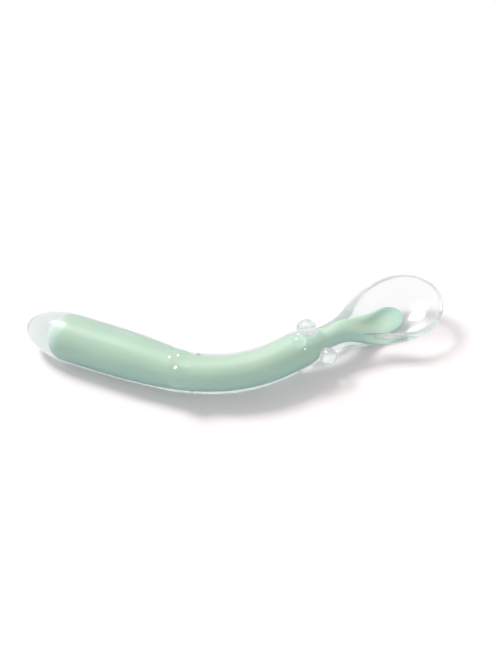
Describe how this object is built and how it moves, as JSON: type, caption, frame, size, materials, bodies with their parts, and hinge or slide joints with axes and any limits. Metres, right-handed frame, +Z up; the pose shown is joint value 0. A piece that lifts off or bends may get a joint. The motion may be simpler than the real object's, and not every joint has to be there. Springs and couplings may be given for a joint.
{
  "type": "baby spoon",
  "caption": "Soft baby spoon with a fat curved handle of clear silicone over a mint-green core, ringed with clear round bumps, ending in a small clear bowl that the green core reaches into.",
  "frame": {"origin": "centre of the spoon's bounding box in X and Y, at the height of the table it lies on", "axes": "+X from the butt of the handle to the bowl's tip, +Y to the side the bowl is swung to, +Z up, out of the open side of the bowl"},
  "size_m": [0.1466, 0.0516, 0.0205],
  "materials": {
    "core": "smooth satin, mint green moulded through",
    "silicone": "clear soft silicone with a polished mould surface"
  },
  "bodies": {
    "root": {"core": "core", "silicone_overmould": "silicone"}
  },
  "joints": []
}
